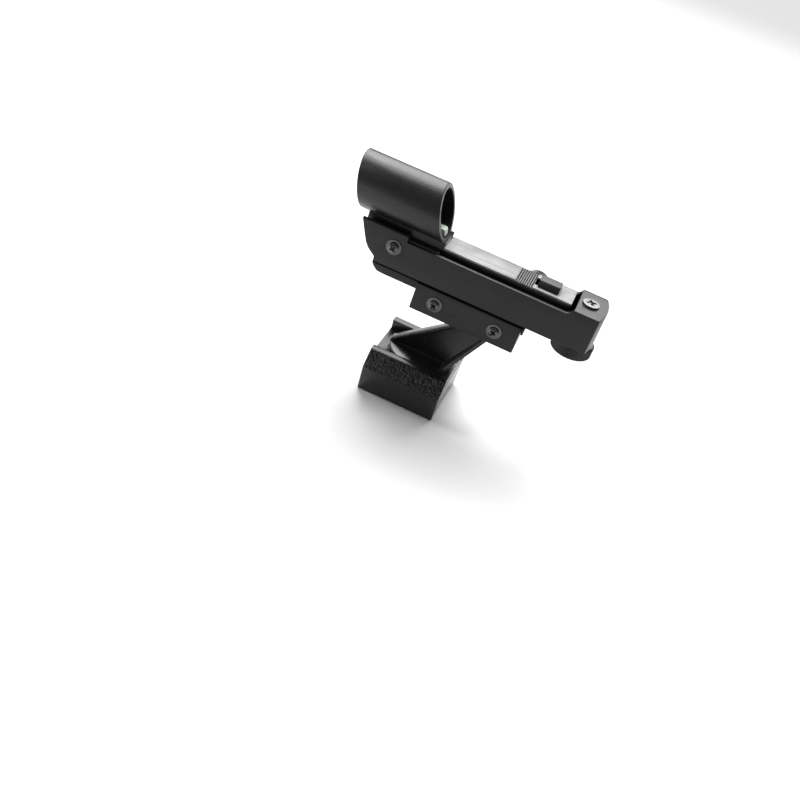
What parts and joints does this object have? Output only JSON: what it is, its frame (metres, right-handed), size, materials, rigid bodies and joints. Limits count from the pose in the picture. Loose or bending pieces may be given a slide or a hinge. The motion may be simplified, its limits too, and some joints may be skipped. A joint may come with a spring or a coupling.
{
  "type": "finder_scope",
  "caption": "Black red-dot finder scope on a dovetail shoe, with a slanted sight tube, a tilting frame, an altitude knob, an azimuth knob and a slide switch.",
  "frame": {"origin": "middle of the line of the two base bolts, on the crown of the saddle that sits on the telescope tube", "axes": "+X toward the eye end, along the telescope; +Y to the observer's right; +Z away from the telescope"},
  "size_m": [0.139, 0.0568, 0.115],
  "materials": {
    "crinkle_metal": "crinkle black paint",
    "satin_metal": "satin black paint",
    "tube_metal": "satin black paint with a fine grain",
    "strip_aluminium": "brushed grey metal",
    "grip_metal": "black knurled",
    "satin_plastic": "satin black, fine texture",
    "knob_plastic": "semi-gloss black",
    "black_steel": "blackened steel",
    "steel": "bright steel",
    "bolt_steel": "dulled steel",
    "battery_steel": "nickel plate",
    "contact_brass": "plated spring brass",
    "coated_glass": "coated lens glass",
    "lamp_plastic": "pale moulded plastic",
    "lamp_red": "red lamp body",
    "board_green": "circuit board"
  },
  "bodies": {
    "shoe": {"base_shoe": "crinkle_metal"},
    "pad": {"thumb_pad": "steel"},
    "thumb": {"thumbscrew": "steel"},
    "stand": {"stand": "satin_metal", "clamp_plate_left": "satin_plastic", "clamp_plate_right": "satin_plastic", "clamp_screws": "black_steel", "clamp_washers": "black_steel", "base_body": "satin_plastic", "battery": "battery_steel", "battery_contacts": "contact_brass", "pivot_screws": "black_steel", "pivot_washers": "black_steel", "altitude_nut": "steel"},
    "cover": {"battery_cover": "satin_plastic"},
    "frame": {"frame": "satin_plastic", "altitude_spring": "steel"},
    "altitude_drive": {"altitude_bolt": "bolt_steel", "altitude_knob": "knob_plastic"},
    "azimuth_drive": {"azimuth_screw": "steel", "azimuth_knob": "knob_plastic", "azimuth_clip": "steel"},
    "arm": {"arm": "satin_plastic", "arm_pivot_screw": "black_steel", "arm_pivot_washer": "steel", "top_strip": "strip_aluminium", "grip_pad": "grip_metal", "sight_tube": "tube_metal", "lens": "coated_glass", "lens_ring": "knob_plastic", "led_holder": "lamp_plastic", "led": "lamp_red", "circuit_board": "board_green", "switch_body": "knob_plastic", "azimuth_nut": "steel"},
    "slider": {"switch_slider": "satin_plastic"}
  },
  "joints": [
    {"name": "stand_slide", "type": "slide", "parent": "shoe", "child": "stand", "axis": [1, 0, 0], "range_m": [0, 0.05]},
    {"name": "pad_slide", "type": "slide", "parent": "shoe", "child": "pad", "axis": [0, 1, 0], "range_m": [0, 0.0014]},
    {"name": "thumbscrew_spin", "type": "hinge", "parent": "pad", "child": "thumb", "pos_m": [0.011, 0.028, 0.0186], "axis": [0, 1, 0], "range_deg": [0, 720]},
    {"name": "battery_cover_slide", "type": "slide", "parent": "stand", "child": "cover", "axis": [-1, 0, 0], "range_m": [0, 0.024]},
    {"name": "frame_tilt", "type": "hinge", "parent": "stand", "child": "frame", "pos_m": [-0.0278, 0, 0.0764], "axis": [0, -1, 0], "range_deg": [-0.3, 2.4], "deforming": ["altitude_spring"]},
    {"name": "altitude_spin", "type": "hinge", "parent": "frame", "child": "altitude_drive", "pos_m": [0.0705, 0, 0.0606], "axis": [0, 0, 1], "range_deg": [-263, 2116]},
    {"name": "azimuth_swing", "type": "hinge", "parent": "frame", "child": "arm", "pos_m": [-0.014, 0, 0.0814], "axis": [0, 0, 1], "range_deg": [-1.4, 1.4]},
    {"name": "azimuth_spin", "type": "hinge", "parent": "frame", "child": "azimuth_drive", "pos_m": [0.0412, 0.0164, 0.0746], "axis": [0, 1, 0], "range_deg": [-690, 690]},
    {"name": "switch_slide", "type": "slide", "parent": "arm", "child": "slider", "axis": [-1, 0, 0], "range_m": [0, 0.0018]}
  ],
  "couplings": [
    {"joint": "frame_tilt", "follows": "altitude_spin", "ratio": 0.0011334},
    {"joint": "azimuth_swing", "follows": "azimuth_spin", "ratio": -0.0020183},
    {"joint": "pad_slide", "follows": "thumbscrew_spin", "m_per_rad": 0.00011141}
  ]
}
